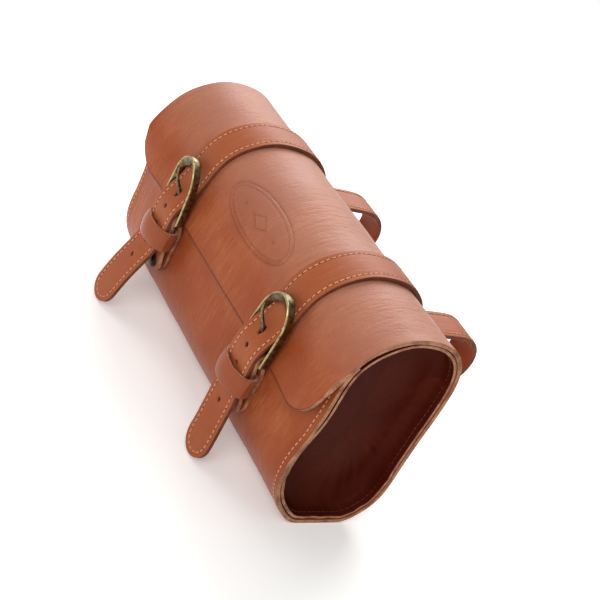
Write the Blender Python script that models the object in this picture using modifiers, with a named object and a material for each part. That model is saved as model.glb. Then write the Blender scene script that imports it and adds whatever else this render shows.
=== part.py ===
"""Roll-shaped leather bag with a flap, two stitched belts and cast buckles.

Metres, +Z up, front with the buckles towards -Y. Each sheet of leather starts
as a flat grid, is rolled along its section and gets its wall with Solidify.
"""
import math

import bmesh
import bpy
from mathutils import Matrix, Vector

# Body of the bag
BAG_LENGTH = 0.216
BAG_DEPTH = 0.0780
BAG_HEIGHT = 0.1238
LEATHER = 0.0022
GAP = 0.0003

# Flap
FLAP_EDGE_HEIGHT = 0.0648
FLAP_EASE = 0.0006
FLAP_CORNER = 0.020
FLAP_LIFT = 0.0022
FLAP_LIFT_REACH = 0.038

# Round end panels
PANEL_THICKNESS = 0.0018
PANEL_RECESS = 0.0130
PANEL_RIM_SET = 0.0014
PANEL_BEND = 0.0026

# Belts and the straps that carry the buckles
BELT_WIDTH = 0.020
BELT_THICKNESS = 0.0028
BELT_SPACING = 0.109
BELT_SHIFT = 0.0014
BELT_END_HEIGHT = 0.0573
CHAPE_THICKNESS = 0.0020
CHAPE_LENGTH = 0.0375
CHAPE_LEAVES_BAG = 0.0100
TAIL_CLEARANCE = 0.0010
HOLE_DIAMETER = 0.0030
HOLE_SPACING = 0.0117
HOLE_COUNT = 5
USED_HOLE_UP = 0.0133
SLOT_LENGTH = 0.0090
ROUND_END = (0.02, 0.10, 0.26, 0.50, 0.76, 1.0)

# Buckles
HEEL_BAR_DIAMETER = 0.0024
BAR_ABOVE_FLAP_EDGE = 0.0020
FRAME_SIDE_CLEARANCE = 0.0006
FRAME_WALL = 0.0022
FRAME_BAND = 0.0046
FRAME_HEIGHT = 0.0320
FRAME_TILT = math.radians(4)
FRAME_FOOT = 0.0022
TONGUE_DIAMETER = 0.0020
TONGUE_CLEARANCE = 0.0005

# Keepers
KEEPER_WIDTH = 0.0115
KEEPER_THICKNESS = 0.0016
KEEPER_DROP = 0.0170
KEEPER_SIDE_CLEARANCE = 0.0010
KEEPER_BULGE = 0.0030

# Rivets
RIVET_DIAMETER = 0.0125
RIVET_HEIGHT = 0.0019
RIVET_INSET = 0.0085

# Hanging loops on the back
BAR_DIAMETER = 0.0318
BAR_EASE = 0.0004
BAR_STANDOFF = 0.0385
BAR_HEIGHT = 0.0782
LOOP_THICKNESS = 0.0024

SHEET_STEP = 0.0064
STRIP_STEP = 0.0056
TURN = 2 * math.pi

# Wall's middle line round the bag: share of half the depth, share of the height
SECTION = (
    ("mouth", -0.866, 0.842),
    ("front upper", -0.921, 0.765),
    ("front breast", -0.958, 0.642),
    ("front middle", -0.971, 0.511),
    ("front lower", -0.955, 0.373),
    ("front foot", -0.881, 0.230),
    ("front turn", -0.673, 0.115),
    ("front heel", -0.424, 0.042),
    ("seat front", -0.190, 0.0),
    ("seat middle", 0.237, 0.0),
    ("seat back", 0.620, 0.0),
    ("back heel", 0.871, 0.057),
    ("back turn", 1.005, 0.131),
    ("back foot", 1.026, 0.214),
    ("back lower", 0.987, 0.356),
    ("back middle", 0.950, 0.504),
    ("back breast", 0.929, 0.642),
    ("back upper", 0.871, 0.789),
    ("back shoulder", 0.720, 0.899),
    ("roof back", 0.435, 0.971),
    ("roof", 0.053, 1.0),
    ("roof front", -0.317, 0.988),
    ("front shoulder", -0.620, 0.935),
    ("front brow", -0.778, 0.886),
)

# Columns across the flap and wrap, as shares of the length's half
BODY_COLUMNS = (0.0, 0.30, 0.58, 0.78, 0.835, 0.88, 0.92, 0.955, 0.982, 1.0)

# How the flap stands off along its second lap: share of the round, share of the ease
LAP_START = 0.87
LAP_FULL = 0.985

# Belt above the buckle: height over the heel bar and slack off the flap, as shares
# of the frame's height
BELT_OVER = (
    ("under the arch", 0.700, 0.000),
    ("clear of the tongue", 0.534, 0.025),
    ("used hole", 0.394, 0.081),
    ("on the tongue", 0.259, 0.169),
    ("before the bar", 0.124, 0.214),
)

# Tails below the heel bar: share of the drop to the tip, outward and sideways
# stray as shares of the belt's width
TAILS = {
    "left": (
        ("under the keeper", 0.33, -0.01, 0.000),
        ("free", 0.46, 0.12, -0.020),
        ("middle", 0.66, 0.28, -0.070),
        ("lower", 0.84, 0.38, -0.120),
        ("tip", 1.00, 0.45, -0.160),
    ),
    "right": (
        ("under the keeper", 0.33, -0.13, 0.000),
        ("free", 0.46, -0.15, 0.040),
        ("middle", 0.66, -0.13, 0.140),
        ("lower", 0.84, -0.08, 0.240),
        ("tip", 1.00, 0.00, 0.340),
    ),
}

# Tongue past the strap: share of the frame's height, share of the way from the
# heel bar's front out to the arch's front
TONGUE = (
    ("rises", 0.078, -0.12),
    ("bends in", 0.140, -0.36),
    ("behind the strap", 0.208, -0.52),
    ("at the hole", 0.287, -0.52),
    ("leaves the hole", 0.360, -0.32),
    ("arches", 0.456, 0.16),
    ("over", 0.640, 0.92),
    ("rests", 0.810, 1.26),
    ("tip", 0.985, 1.42),
)

COLOURS = {
    "tan_leather": ((0.352, 0.082, 0.030), 0.48, 0.0),
    "dark_leather": ((0.120, 0.030, 0.014), 0.60, 0.0),
    "strap_leather": ((0.385, 0.120, 0.056), 0.50, 0.0),
    "keeper_leather": ((0.300, 0.080, 0.036), 0.42, 0.0),
    "antique_brass": ((0.330, 0.245, 0.120), 0.34, 1.0),
    "black_rivet": ((0.018, 0.016, 0.015), 0.38, 0.6),
}


def clear_scene():
    for obj in list(bpy.data.objects):
        bpy.data.objects.remove(obj, do_unlink=True)
    for collection in list(bpy.data.collections):
        bpy.data.collections.remove(collection)


def make_material(name):
    colour, roughness, metallic = COLOURS[name]
    material = bpy.data.materials.new(name)
    material.use_nodes = True
    shader = material.node_tree.nodes["Principled BSDF"]
    shader.inputs["Base Color"].default_value = (*colour, 1.0)
    shader.inputs["Roughness"].default_value = roughness
    shader.inputs["Metallic"].default_value = metallic
    return material


def smooth(value):
    value = min(1.0, max(0.0, value))
    return value * value * (3 - 2 * value)


def curve_through(points, closed=False, fine=12):
    """Smooth line through a few points, as many short chords."""
    count = len(points)
    spans = count if closed else count - 1
    line = []
    for index in range(spans):
        if closed:
            a, b, c, d = (points[(index + k - 1) % count] for k in range(4))
        else:
            a = points[max(index - 1, 0)]
            b = points[index]
            c = points[index + 1]
            d = points[min(index + 2, count - 1)]
        for step in range(fine):
            t = step / fine
            line.append(0.5 * (2 * b + (c - a) * t + (2 * a - 5 * b + 4 * c - d) * t * t
                               + (3 * b - a - 3 * c + d) * t ** 3))
    if not closed:
        line.append(points[-1].copy())
    return line


def lengths_along(line):
    total = [0.0]
    for before, after in zip(line, line[1:]):
        total.append(total[-1] + (after - before).length)
    return total


def point_at(line, marks, distance):
    distance = min(max(distance, 0.0), marks[-1])
    for index in range(len(marks) - 1):
        if marks[index + 1] >= distance:
            span = marks[index + 1] - marks[index]
            share = (distance - marks[index]) / span if span else 0.0
            return line[index].lerp(line[index + 1], share)
    return line[-1].copy()


def even_line(line, step):
    marks = lengths_along(line)
    count = max(2, round(marks[-1] / step))
    return [point_at(line, marks, marks[-1] * k / count) for k in range(count + 1)]


def offset_line(line, distance, closed=False):
    """Line beside another, towards its outer side, with every chord parallel."""
    moved = []
    last = len(line) - 1
    for index, point in enumerate(line):
        before = line[index - 1] if index or closed else None
        after = line[(index + 1) % len(line)] if index < last or closed else None
        runs = [run.normalized() for run in (point - before if before else None,
                                             after - point if after else None) if run]
        sides = [Vector((run.y, -run.x)) for run in runs]
        middle = sum(sides, Vector((0.0, 0.0))).normalized()
        moved.append(point + middle * distance / max(0.5, middle.dot(sides[0])))
    return moved


def base_ring():
    """Closed middle line of the wrap's first lap, as (depth, height)."""
    half = (BAG_DEPTH - LEATHER) / 2
    rise = BAG_HEIGHT - LEATHER
    foot = LEATHER / 2
    points = [Vector((share_y * half, foot + share_z * rise)) for _, share_y, share_z in SECTION]
    ring = curve_through(points, closed=True)
    for point in ring:
        point.y = max(point.y, foot)
    return ring


def wrap_line():
    """Middle line of the whole sheet: one lap and the flap over the front."""
    ring = base_ring()
    outer = offset_line(ring, LEATHER + FLAP_EASE, closed=True)
    closed = ring + [ring[0].copy()]
    marks = lengths_along(closed)
    line = []
    for point, lifted, mark in zip(ring, outer, marks):
        share = smooth((mark / marks[-1] - LAP_START) / (LAP_FULL - LAP_START))
        line.append(point.lerp(lifted, share))
    for before, after in zip(outer, outer[1:]):
        line.append(before.copy())
        if after.y <= FLAP_EDGE_HEIGHT:
            share = (before.y - FLAP_EDGE_HEIGHT) / (before.y - after.y)
            line.append(before.lerp(after, share))
            break
    return line


def mark_at_height(line, height, rising):
    """Place on a line where it first passes a height, as chord number and share."""
    for index, (before, after) in enumerate(zip(line, line[1:])):
        low, high = (before.y, after.y) if rising else (after.y, before.y)
        if low <= height < high and (rising is False or before.x > 0):
            return index + (height - before.y) / (after.y - before.y)
    return 0.0


def last_mark_at_height(line, height):
    """Place where the flap, the end of the line, passes a height."""
    for index in range(len(line) - 2, 0, -1):
        before, after = line[index], line[index + 1]
        if after.y <= height < before.y:
            return index + (before.y - height) / (before.y - after.y)
    return len(line) - 1.0


def chord_point(line, mark):
    index = min(int(mark), len(line) - 2)
    return line[index].lerp(line[index + 1], mark - index)


def chords_between(line, start, end):
    """The line's own corners from one mark to another, with both ends."""
    if start <= end:
        inner = [line[k] for k in range(int(start) + 1, math.ceil(end))]
    else:
        inner = [line[k] for k in range(math.ceil(start) - 1, int(end), -1)]
    ends = [chord_point(line, start), chord_point(line, end)]
    inner = [point for point in inner if min((point - other).length for other in ends) > 0.4 * LEATHER]
    return [ends[0]] + inner + [ends[1]]


def link(obj, collection, material):
    collection.objects.link(obj)
    if material:
        obj.data.materials.append(material)
    return obj


def rolled_sheet(name, rows, columns, place, wall, collection, material):
    """Flat grid of leather, rolled by a placing function, with its wall."""
    grid = bmesh.new()
    bmesh.ops.create_grid(grid, x_segments=columns - 1, y_segments=rows - 1, size=0.5)
    grid.verts.ensure_lookup_table()
    low_x = min(vert.co.x for vert in grid.verts)
    low_y = min(vert.co.y for vert in grid.verts)
    span_x = max(vert.co.x for vert in grid.verts) - low_x
    span_y = max(vert.co.y for vert in grid.verts) - low_y
    for vert in grid.verts:
        column = round((vert.co.x - low_x) / span_x * (columns - 1))
        row = round((vert.co.y - low_y) / span_y * (rows - 1))
        vert.co = place(row, column)
    bmesh.ops.remove_doubles(grid, verts=grid.verts, dist=0.00001)
    bmesh.ops.recalc_face_normals(grid, faces=grid.faces)
    mesh = bpy.data.meshes.new(name)
    grid.to_mesh(mesh)
    grid.free()
    obj = link(bpy.data.objects.new(name, mesh), collection, material)
    solid = obj.modifiers.new("wall", "SOLIDIFY")
    solid.thickness = wall
    solid.offset = 0.0
    solid.use_even_offset = True
    return obj


def wrap_stations():
    """Distances of the wrap's rows along its line, and where the flap starts to lift."""
    total = lengths_along(wrap_line())[-1]
    fold = total - FLAP_LIFT_REACH
    count = round(fold / SHEET_STEP)
    stations = [fold * k / count for k in range(count)]
    count = round(FLAP_LIFT_REACH / (0.6 * SHEET_STEP))
    stations += [fold + FLAP_LIFT_REACH * k / count for k in range(count + 1)]
    return stations, fold


def wrap_rows():
    """Corners of the wrap's middle line, which every piece on it shares."""
    line = wrap_line()
    marks = lengths_along(line)
    stations, _ = wrap_stations()
    return [point_at(line, marks, distance) for distance in stations]


def make_wrap(collection, materials):
    line = wrap_rows()
    stations, fold = wrap_stations()
    marks = stations
    half = BAG_LENGTH / 2
    columns = [-share * half for share in reversed(BODY_COLUMNS)][:-1]
    columns += [share * half for share in BODY_COLUMNS]

    def place(row, column):
        x = columns[column]
        reach = abs(x) - (half - FLAP_CORNER)
        short = 0.0
        if reach > 0:
            short = FLAP_CORNER - math.sqrt(max(0.0, FLAP_CORNER ** 2 - reach ** 2))
        distance = stations[row]
        if distance <= fold:
            return Vector((x, line[row].x, line[row].y))
        distance = fold + (distance - fold) * (FLAP_LIFT_REACH - short) / FLAP_LIFT_REACH
        point = point_at(line, marks, distance)
        near = point_at(line, marks, distance - LEATHER)
        along = (point - near).normalized()
        lift = FLAP_LIFT * smooth((distance - fold) / FLAP_LIFT_REACH)
        lift *= smooth((abs(x) - half + FLAP_LIFT_REACH) / FLAP_LIFT_REACH)
        point = point + Vector((along.y, -along.x)) * lift
        return Vector((x, point.x, point.y))

    return rolled_sheet("wrap", len(stations), len(columns), place, LEATHER, collection,
                        materials["tan_leather"])


def panel_ring():
    """Closed line inside the wrap's own corners, for the end panels."""
    ring = base_ring()
    closed = ring + [ring[0].copy()]
    marks = lengths_along(closed)
    stations, _ = wrap_stations()
    turn = LAP_START * marks[-1]
    corners = [point for point, distance in zip(wrap_rows(), stations) if distance < turn]
    count = round((1 - LAP_START) * marks[-1] / SHEET_STEP)
    corners += [point_at(closed, marks, turn + (marks[-1] - turn) * k / count)
                for k in range(1, count)]
    return corners


def make_end_panel(name, side, collection, materials):
    """Panel let into the bag's end, its flange turned out along the wrap."""
    inset = LEATHER / 2 + GAP + PANEL_THICKNESS / 2
    ring = offset_line(panel_ring(), -inset, closed=True)
    rim_x = side * (BAG_LENGTH / 2 - PANEL_RIM_SET)
    depth = PANEL_RECESS - PANEL_RIM_SET
    mesh = bmesh.new()
    bmesh.ops.create_circle(mesh, cap_ends=True, segments=len(ring), radius=1.0)
    mesh.verts.ensure_lookup_table()
    turned = sorted(mesh.verts, key=lambda vert: math.atan2(vert.co.y, vert.co.x) % TURN)
    for vert, point in zip(turned, ring):
        vert.co = Vector((rim_x, point.x, point.y))
    cap = mesh.faces[:]
    for drop in (depth - PANEL_BEND, 0.6 * PANEL_BEND):
        result = bmesh.ops.extrude_face_region(mesh, geom=cap)
        if cap[0].is_valid:
            bmesh.ops.delete(mesh, geom=cap, context="FACES_ONLY")
        cap = [item for item in result["geom"] if isinstance(item, bmesh.types.BMFace)]
        moved = [item for item in result["geom"] if isinstance(item, bmesh.types.BMVert)]
        bmesh.ops.translate(mesh, verts=moved, vec=(-side * drop, 0, 0))
    for vert in moved:
        middle = Vector((vert.co.x, 0, BAG_HEIGHT / 2))
        vert.co -= (vert.co - middle).normalized() * 0.25 * PANEL_BEND
    bmesh.ops.inset_region(mesh, faces=cap, thickness=0.8 * PANEL_BEND)
    bmesh.ops.translate(mesh, verts=list(cap[0].verts), vec=(-side * 0.4 * PANEL_BEND, 0, 0))
    bmesh.ops.recalc_face_normals(mesh, faces=mesh.faces)
    data = bpy.data.meshes.new(name)
    mesh.to_mesh(data)
    mesh.free()
    obj = link(bpy.data.objects.new(name, data), collection, materials["dark_leather"])
    solid = obj.modifiers.new("wall", "SOLIDIFY")
    solid.thickness = PANEL_THICKNESS
    solid.offset = 0.0
    solid.use_even_offset = True
    return obj


def from_round_end(line, step):
    """Rows from a round end, close together where it turns, then evenly spaced."""
    radius = BELT_WIDTH / 2
    marks = lengths_along(line)
    rows = [radius * share for share in ROUND_END]
    count = max(1, round((marks[-1] - rows[-1]) / step))
    rows += [rows[-1] + (marks[-1] - rows[-1]) * k / count for k in range(1, count + 1)]
    return [point_at(line, marks, row) for row in rows]


def to_round_end(rows):
    """The rows again, close together where their last end turns."""
    radius = BELT_WIDTH / 2
    marks = lengths_along(rows)
    turn = marks[-1] - radius
    kept = [row for row, mark in zip(rows, marks) if mark < turn - LEATHER]
    return kept + [point_at(rows, marks, marks[-1] - radius * share)
                   for share in reversed(ROUND_END)]


def make_strip(name, rows, stray, wall, collection, material, both_round=False):
    """Strap through its rows, with its first end round, or both."""
    marks = lengths_along(rows)
    first = ROUND_END[0] * BELT_WIDTH / 2
    half = BELT_WIDTH / 2

    def place(row, column):
        reach = min(half, marks[row] + first)
        if both_round:
            reach = min(reach, marks[-1] - marks[row] + first)
        width = math.sqrt(half ** 2 - (half - reach) ** 2)
        return Vector((stray(marks[row]) + (column - 1) * width, rows[row].x, rows[row].y))

    return rolled_sheet(name, len(rows), 3, place, wall, collection, material)


def cut(obj, cutter, cutters, name):
    cutters.objects.link(cutter)
    cutter.display_type = "WIRE"
    cutter.hide_render = True
    boolean = obj.modifiers.new(name, "BOOLEAN")
    boolean.operation = "DIFFERENCE"
    boolean.solver = "EXACT"
    boolean.object = cutter
    return boolean


def box_object(name, centre, size, tilt=0.0):
    mesh = bmesh.new()
    bmesh.ops.create_cube(mesh, size=1.0)
    data = bpy.data.meshes.new(name)
    mesh.to_mesh(data)
    mesh.free()
    obj = bpy.data.objects.new(name, data)
    obj.location = centre
    obj.scale = size
    obj.rotation_euler = (tilt, 0, 0)
    return obj


def punch(name, centre, along, diameter, depth):
    """Round punch across a strap at a point, square to the strap."""
    mesh = bmesh.new()
    bmesh.ops.create_cone(mesh, cap_ends=True, segments=10, radius1=diameter / 2,
                          radius2=diameter / 2, depth=depth)
    data = bpy.data.meshes.new(name)
    mesh.to_mesh(data)
    mesh.free()
    obj = bpy.data.objects.new(name, data)
    across = Vector((0, along.y, -along.x))
    obj.rotation_mode = "QUATERNION"
    obj.rotation_quaternion = across.to_track_quat("Z", "X")
    obj.location = centre
    return obj


class BuckleSeat:
    """Where a buckle sits, from the flap and the leathers under it."""

    def __init__(self, line):
        edge = line[-1]
        under = GAP + CHAPE_THICKNESS + GAP + HEEL_BAR_DIAMETER / 2
        self.line = line
        self.flap_front = edge.x - LEATHER / 2
        self.bar = Vector((self.flap_front - under, edge.y + BAR_ABOVE_FLAP_EDGE))
        self.fold = HEEL_BAR_DIAMETER / 2 + GAP + CHAPE_THICKNESS / 2
        self.belt = self.bar.x - self.fold - CHAPE_THICKNESS / 2 - GAP - BELT_THICKNESS / 2
        self.arch = self.bar.x - FRAME_BAND / 2 - math.sin(FRAME_TILT) * FRAME_HEIGHT


def belt_rows(seat, tail):
    """Rows of a belt from its tail's tip over the roof and down the back."""
    drop = seat.bar.y - TAIL_CLEARANCE
    points = [Vector((seat.belt - outward * BELT_WIDTH, seat.bar.y - down * drop))
              for _, down, outward, _ in reversed(tail)]
    points.append(Vector((seat.belt + 0.04 * BELT_WIDTH, seat.bar.y - 0.14 * drop)))
    points.append(Vector((seat.belt, seat.bar.y)))
    flap = seat.flap_front - GAP - BELT_THICKNESS / 2
    for _, up, slack in reversed(BELT_OVER):
        points.append(Vector((flap - slack * FRAME_HEIGHT, seat.bar.y + up * FRAME_HEIGHT)))
    start = last_mark_at_height(seat.line, points[-1].y + 0.10 * FRAME_HEIGHT)
    end = mark_at_height(seat.line, BELT_END_HEIGHT, True)
    beside = offset_line(seat.line, LEATHER / 2 + GAP + BELT_THICKNESS / 2)
    covered = chords_between(beside, start, end)
    free = from_round_end(curve_through(points[:-1] + covered[:1]), STRIP_STEP)
    return free + covered[1:]


def chape_rows(seat):
    """Rows of a short buckle strap: its front leaf, round the bar, its back leaf."""
    line = seat.line
    on_wrap = LEATHER / 2 + GAP + CHAPE_THICKNESS / 2
    beside = offset_line(line, on_wrap)
    leave = mark_at_height(line, seat.bar.y - CHAPE_LEAVES_BAG, False)
    end = mark_at_height(line, seat.bar.y - CHAPE_LENGTH, False)
    covered = chords_between(beside, leave, end)
    doubled = CHAPE_THICKNESS + 2 * GAP
    keeper_room = KEEPER_THICKNESS + 4 * GAP + CHAPE_THICKNESS
    outer = []
    for down, stand in ((1.0, doubled), (0.63, keeper_room), (0.47, keeper_room),
                        (0.30, keeper_room + GAP)):
        mark = mark_at_height(line, seat.bar.y - down * CHAPE_LENGTH, False)
        outer.append(chord_point(offset_line(line, on_wrap + stand), mark))
    outer.append(seat.bar + Vector((-seat.fold + 2 * GAP, -2 * CHAPE_THICKNESS)))
    outer.append(seat.bar - Vector((seat.fold, 0.0)))
    front = curve_through(outer)
    turn = [seat.bar + seat.fold * Vector((math.cos(math.radians(angle)),
                                           math.sin(math.radians(angle))))
            for angle in range(150, -1, -30)]
    behind = [turn[-1], seat.bar + Vector((seat.fold, -1.4 * CHAPE_THICKNESS)), covered[0]]
    rear = even_line(curve_through(behind), 0.6 * STRIP_STEP)
    back = to_round_end(rear[1:] + covered[1:])
    return from_round_end(front, 0.8 * STRIP_STEP) + turn + back


def make_belt(name, x, tail, seat, groups, materials):
    rows = belt_rows(seat, tail)
    marks = lengths_along(rows)
    over_bar = min(range(len(rows)), key=lambda k: (rows[k] - Vector((seat.belt, seat.bar.y))).length)
    table = sorted((1 - down, side) for _, down, _, side in tail) + [(1.0, 0.0)]

    def stray(distance):
        share = distance / marks[over_bar]
        for before, after in zip(table, table[1:]):
            if share <= after[0]:
                part = max(0.0, (share - before[0]) / (after[0] - before[0]))
                return x + BELT_WIDTH * (before[1] + (after[1] - before[1]) * part)
        return x

    belt = make_strip(name, rows, stray, BELT_THICKNESS, groups[0], materials["strap_leather"])
    used = marks[over_bar] + USED_HOLE_UP
    for count in range(HOLE_COUNT):
        mark = used - count * HOLE_SPACING
        if not count:
            mark -= 0.30 * SLOT_LENGTH
        point = point_at(rows, marks, mark)
        along = (point_at(rows, marks, mark + HOLE_DIAMETER / 3) - point).normalized()
        centre = Vector((stray(mark), point.x, point.y))
        label = f"{name}_hole_{count}"
        if count:
            tool = punch(label, centre, along, HOLE_DIAMETER, 3 * BELT_THICKNESS)
        else:
            width = TONGUE_DIAMETER + 2 * TONGUE_CLEARANCE
            tilt = math.atan2(along.y, along.x) - math.pi / 2
            tool = box_object(label, centre, (width, 3 * BELT_THICKNESS, SLOT_LENGTH), tilt)
        cut(belt, tool, groups[1], label)
    return belt


def make_chape(name, x, seat, groups, materials):
    rows = chape_rows(seat)
    strip = make_strip(name, rows, lambda distance: x, CHAPE_THICKNESS, groups[0],
                       materials["strap_leather"], True)
    width = TONGUE_DIAMETER + 2 * TONGUE_CLEARANCE
    reach = seat.fold + TONGUE_DIAMETER
    centre = Vector((x, seat.bar.x, seat.bar.y))
    slot = box_object(f"{name}_slot", centre, (width, 2.4 * reach, 2.4 * reach))
    cut(strip, slot, groups[1], "tongue slot")
    return strip


def make_buckle(name, x, seat, groups, materials):
    """Arched band standing on edge, with the heel bar between its feet."""
    half = BELT_WIDTH / 2 + FRAME_SIDE_CLEARANCE + FRAME_WALL / 2
    straight = FRAME_HEIGHT - half * 1.12
    path = [Vector((half, -FRAME_FOOT)), Vector((half, 0.5 * straight)), Vector((half, straight))]
    for angle in range(15, 180, 15):
        turn = math.radians(angle)
        path.append(Vector((half * math.cos(turn), straight + half * 1.12 * math.sin(turn))))
    path += [Vector((-half, straight)), Vector((-half, 0.5 * straight)), Vector((-half, -FRAME_FOOT))]
    bend = Matrix.Rotation(FRAME_TILT, 4, "X")
    seat_point = Vector((x, seat.bar.x, seat.bar.y))

    def place(row, column):
        point = path[row]
        local = Vector((point.x, (column - 0.5) * FRAME_BAND, point.y))
        return seat_point + bend @ local

    frame = rolled_sheet(name, len(path), 2, place, FRAME_WALL, groups[0], materials["antique_brass"])
    rod = bmesh.new()
    bmesh.ops.create_cone(rod, cap_ends=True, segments=10, radius1=HEEL_BAR_DIAMETER / 2,
                          radius2=HEEL_BAR_DIAMETER / 2, depth=2 * half + 0.4 * FRAME_WALL)
    data = bpy.data.meshes.new(f"{name}_bar")
    rod.to_mesh(data)
    rod.free()
    bar = bpy.data.objects.new(f"{name}_bar", data)
    bar.rotation_euler = (0, math.pi / 2, 0)
    bar.location = seat_point
    boolean = cut(frame, bar, groups[1], "heel bar")
    boolean.operation = "UNION"
    return frame


def make_tongue(name, x, seat, collection, material):
    """Wire ring round the heel bar that runs on as the tongue over the arch."""
    wire = TONGUE_DIAMETER
    ring = HEEL_BAR_DIAMETER / 2 + GAP + wire / 2
    points = []
    for angle in range(70, -181, -25):
        turn = math.radians(angle)
        points.append(seat.bar + ring * Vector((math.cos(turn), math.sin(turn))))
    start = seat.bar.x - ring
    arch = seat.arch - wire / 2 - GAP
    for _, up, out in TONGUE:
        points.append(Vector((start + (arch - start) * out, seat.bar.y + up * FRAME_HEIGHT)))
    line = even_line(curve_through(points, fine=5), 1.15 * wire)
    curve = bpy.data.curves.new(name, "CURVE")
    curve.dimensions = "3D"
    curve.bevel_depth = wire / 2
    curve.bevel_resolution = 2
    curve.use_fill_caps = True
    spline = curve.splines.new("POLY")
    spline.points.add(len(line) - 1)
    for target, point in zip(spline.points, line):
        target.co = (x, point.x, point.y, 1.0)
    last = len(line) - 1
    for index in (last, last - 1):
        spline.points[index].radius = 0.55 if index == last else 0.85
    shape = bpy.data.objects.new(name, curve)
    collection.objects.link(shape)
    bpy.context.view_layer.update()
    ready = shape.evaluated_get(bpy.context.evaluated_depsgraph_get())
    mesh = bpy.data.meshes.new_from_object(ready)
    bpy.data.objects.remove(shape)
    weld = bmesh.new()
    weld.from_mesh(mesh)
    bmesh.ops.remove_doubles(weld, verts=weld.verts, dist=0.00001)
    bmesh.ops.recalc_face_normals(weld, faces=weld.faces)
    weld.to_mesh(mesh)
    weld.free()
    mesh.name = name
    mesh.materials.clear()
    return link(bpy.data.objects.new(name, mesh), collection, material)


def make_keeper(name, x, seat, lean, collection, material):
    """Sewn loop round the doubled strap and the belt's tail."""
    beside = LEATHER / 2 + GAP + CHAPE_THICKNESS + GAP + KEEPER_THICKNESS / 2
    height = seat.bar.y - KEEPER_DROP
    levels = (height - KEEPER_WIDTH / 2, height, height + KEEPER_WIDTH / 2)
    line = offset_line(seat.line, beside)
    back = min(chord_point(line, mark_at_height(seat.line, level, False)).x for level in levels)
    half = BELT_WIDTH / 2 + KEEPER_SIDE_CLEARANCE + KEEPER_THICKNESS / 2
    front = seat.belt - BELT_THICKNESS / 2 - KEEPER_THICKNESS / 2 - KEEPER_BULGE * lean
    depth = back - front
    outline = ((-0.80, 0.0), (0.0, 0.0), (0.80, 0.0), (1.02, 0.09), (1.09, 0.34), (1.06, 0.62),
               (0.84, 0.86), (0.20, 1.0), (-0.42, 0.98), (-0.92, 0.79), (-1.09, 0.52),
               (-1.09, 0.26), (-1.02, 0.08))
    points = [Vector((share_x * half, back - share_y * depth)) for share_x, share_y in outline]
    ring = curve_through(points, closed=True, fine=8)
    ring = even_line(ring + [ring[0].copy()], 1.5 * KEEPER_THICKNESS)

    def place(row, column):
        point = ring[row]
        level = height + (column - 0.5) * KEEPER_WIDTH
        return Vector((x + point.x, point.y, level))

    return rolled_sheet(name, len(ring), 2, place, KEEPER_THICKNESS, collection, material)


def make_rivet(name, x, seat, collection, material):
    """Turned cap on the folded end of a buckle strap."""
    rows = chape_rows(seat)
    marks = lengths_along(rows)
    reach = RIVET_INSET
    seat_point = point_at(rows, marks, reach)
    radius = RIVET_DIAMETER / 2
    along = point_at(rows, marks, reach + radius) - point_at(rows, marks, reach - radius)
    along.normalize()
    out = -Vector((along.y, -along.x)) if along.y > 0 else Vector((along.y, -along.x))
    seat_point = seat_point + out * (CHAPE_THICKNESS / 2 + GAP)
    profile = ((0.0, 0.0), (0.94, 0.0), (1.0, 0.30), (0.86, 0.70), (0.50, 0.94), (0.0, 1.0))
    mesh = bmesh.new()
    verts = [mesh.verts.new((share_r * radius, 0, share_z * RIVET_HEIGHT))
             for share_r, share_z in profile]
    for first, second in zip(verts, verts[1:]):
        mesh.edges.new((first, second))
    data = bpy.data.meshes.new(name)
    mesh.to_mesh(data)
    mesh.free()
    obj = link(bpy.data.objects.new(name, data), collection, material)
    screw = obj.modifiers.new("turned", "SCREW")
    screw.steps = 14
    screw.render_steps = 14
    screw.use_merge_vertices = True
    screw.merge_threshold = 0.00005
    screw.use_normal_calculate = True
    obj.rotation_mode = "QUATERNION"
    obj.rotation_quaternion = Vector((0, out.x, out.y)).to_track_quat("Z", "X")
    obj.location = (x, seat_point.x, seat_point.y)
    return obj


def make_bar_loop(name, x, line, collection, material):
    """Closed hanging loop sewn to the back."""
    flat = LEATHER / 2 + GAP + BELT_THICKNESS + GAP + LOOP_THICKNESS / 2
    radius = BAR_DIAMETER / 2 + BAR_EASE + LOOP_THICKNESS / 2
    low = mark_at_height(line, BAR_HEIGHT - 0.80 * radius, True)
    high = mark_at_height(line, BAR_HEIGHT + 0.80 * radius, True)
    back = chords_between(offset_line(line, flat), high, low)
    wall = chord_point(line, (low + high) / 2).x + LEATHER / 2
    bar = Vector((wall + BAR_STANDOFF, BAR_HEIGHT))
    inner = back[0].x
    span = bar.x - inner
    points = [Vector((inner + share * span, bar.y - rise * radius))
              for share, rise in ((0.10, 0.97), (0.35, 1.0), (0.68, 1.0))]
    for angle in range(-90, 91, 20):
        turn = math.radians(angle)
        points.append(bar + radius * Vector((math.cos(turn), math.sin(turn))))
    points += [Vector((inner + share * span, bar.y + rise * radius))
               for share, rise in ((0.68, 1.0), (0.35, 0.98), (0.10, 0.95))]
    free = curve_through([back[-1]] + points + [back[0]], fine=6)
    ring = even_line(free, STRIP_STEP) + back[1:]

    def place(row, column):
        point = ring[row]
        return Vector((x + (column - 0.5) * BELT_WIDTH, point.x, point.y))

    return rolled_sheet(name, len(ring), 2, place, LOOP_THICKNESS, collection, material)


def stand_on_origin(groups):
    """Hangs everything on one empty that puts the origin under the middle of the bag."""
    bpy.context.view_layer.update()
    ready = bpy.context.evaluated_depsgraph_get()
    depths = [(obj.matrix_world @ Vector(corner)).y for obj in groups[0].objects
              for corner in obj.evaluated_get(ready).bound_box]
    stand = bpy.data.objects.new("stand", None)
    stand.location = (0, -(min(depths) + max(depths)) / 2, 0)
    groups[0].objects.link(stand)
    for group in groups:
        for obj in group.objects:
            if obj != stand:
                obj.parent = stand


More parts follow.
